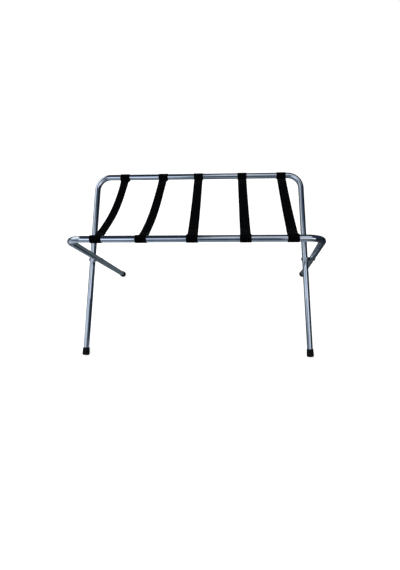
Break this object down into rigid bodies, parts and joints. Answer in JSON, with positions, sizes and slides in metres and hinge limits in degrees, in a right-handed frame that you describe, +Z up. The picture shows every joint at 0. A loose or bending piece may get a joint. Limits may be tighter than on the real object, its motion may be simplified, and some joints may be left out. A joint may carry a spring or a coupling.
{
  "type": "folding luggage rack",
  "caption": "Folding luggage rack: two bent steel tube frames cross in an X on riveted pivots, with woven webbing straps slung between their top bars.",
  "frame": {"origin": "on the floor, midway between the four feet", "axes": "+Z up, +X to the right along the top bars, -Y towards the front, where the front frame's bar is"},
  "size_m": [0.7988, 0.4592, 0.4634],
  "materials": {
    "tube_chrome": "polished",
    "pivot_steel": "satin",
    "spacer_nylon": "satin",
    "foot_rubber": "matte",
    "strap_webbing": "matte"
  },
  "bodies": {
    "rear_bar_frame": {"rear_bar_frame_tube": "tube_chrome", "front_left_foot_cap": "foot_rubber", "front_right_foot_cap": "foot_rubber", "left_pivot_rivet": "pivot_steel", "right_pivot_rivet": "pivot_steel", "left_pivot_spacer": "spacer_nylon", "left_outer_saddle_washer": "pivot_steel", "right_inner_saddle_washer": "pivot_steel", "strap_1_rear_loop": "strap_webbing", "strap_2_rear_loop": "strap_webbing", "strap_3_rear_loop": "strap_webbing", "strap_4_rear_loop": "strap_webbing", "strap_5_rear_loop": "strap_webbing", "strap_1_span": "strap_webbing", "strap_2_span": "strap_webbing", "strap_3_span": "strap_webbing", "strap_4_span": "strap_webbing", "strap_5_span": "strap_webbing"},
    "front_bar_frame": {"front_bar_frame_tube": "tube_chrome", "rear_left_foot_cap": "foot_rubber", "rear_right_foot_cap": "foot_rubber", "right_pivot_spacer": "spacer_nylon", "right_outer_saddle_washer": "pivot_steel", "left_inner_saddle_washer": "pivot_steel", "strap_1_front_loop": "strap_webbing", "strap_2_front_loop": "strap_webbing", "strap_3_front_loop": "strap_webbing", "strap_4_front_loop": "strap_webbing", "strap_5_front_loop": "strap_webbing"}
  },
  "joints": [
    {"name": "fold", "type": "hinge", "parent": "rear_bar_frame", "child": "front_bar_frame", "pos_m": [0, 0, 0.24192], "axis": [-1, 0, 0], "range_deg": [0, 81], "deforming": ["strap_1_span", "strap_2_span", "strap_3_span", "strap_4_span", "strap_5_span"]}
  ]
}
